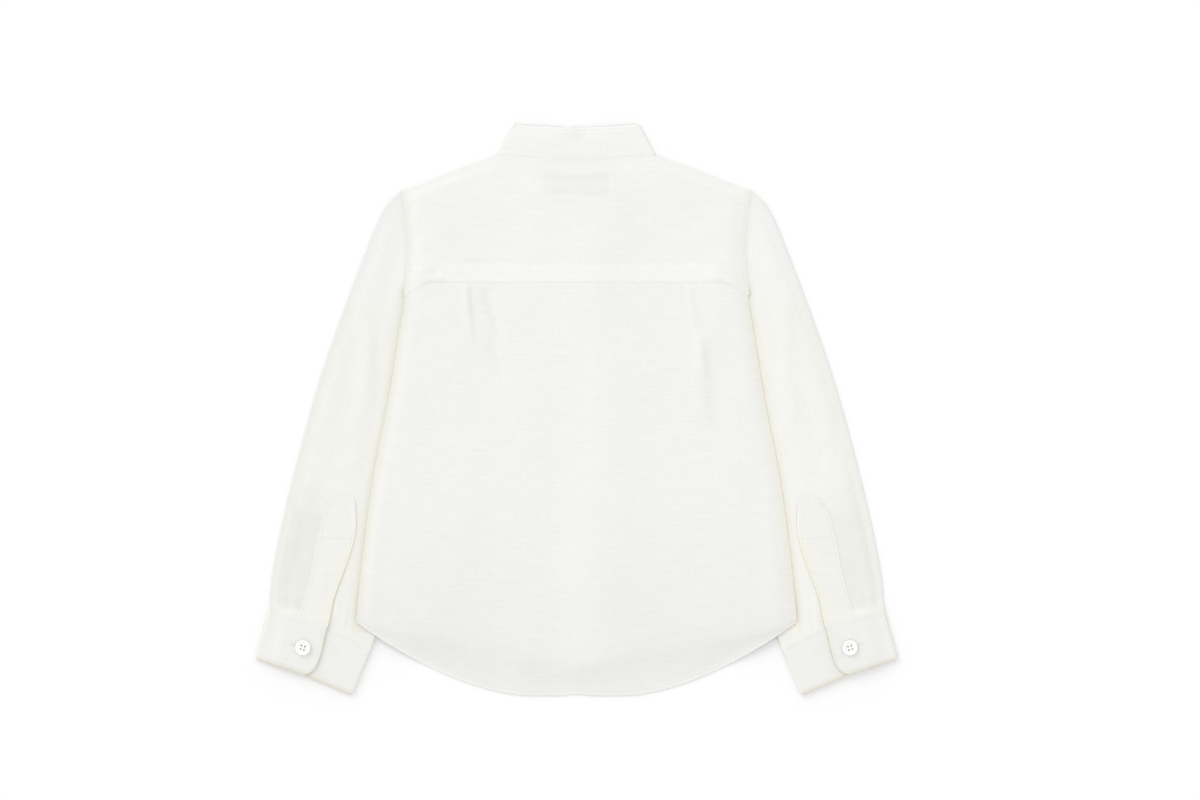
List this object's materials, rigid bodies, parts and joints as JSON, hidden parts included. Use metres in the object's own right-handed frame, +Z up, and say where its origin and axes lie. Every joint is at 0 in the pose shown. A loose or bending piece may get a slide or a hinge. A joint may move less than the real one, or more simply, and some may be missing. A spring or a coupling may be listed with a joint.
{
  "type": "blouse",
  "caption": "Child's ivory blouse laid flat, back up: band collar, yoke with tucks, long cuffed sleeves, curved hem",
  "frame": {"origin": "middle of the bounding box, on the surface that the blouse lies on", "axes": "+X to the wearer's right, +Y from the hem to the collar, +Z up out of the back"},
  "size_m": [0.4776, 0.4253, 0.007],
  "materials": {
    "cloth": "matt slubbed linen and cotton, slightly see-through",
    "button": "glossy pearly white",
    "label": "smooth woven tape"
  },
  "bodies": {
    "root": {"back_panel": "cloth", "yoke": "cloth", "front_left": "cloth", "front_right": "cloth", "buttonhole_band": "cloth", "button_band": "cloth", "collar_band": "cloth", "sleeve_left": "cloth", "sleeve_right": "cloth", "sleeve_placket_left": "cloth", "sleeve_placket_right": "cloth", "slit_binding_left": "cloth", "slit_binding_right": "cloth", "cuff_left": "cloth", "cuff_right": "cloth", "cuff_button_left": "button", "cuff_button_right": "button", "front_button_1": "button", "front_button_2": "button", "front_button_3": "button", "front_button_4": "button", "front_button_5": "button", "front_button_6": "button", "collar_button": "button", "neck_label": "label"}
  },
  "joints": []
}
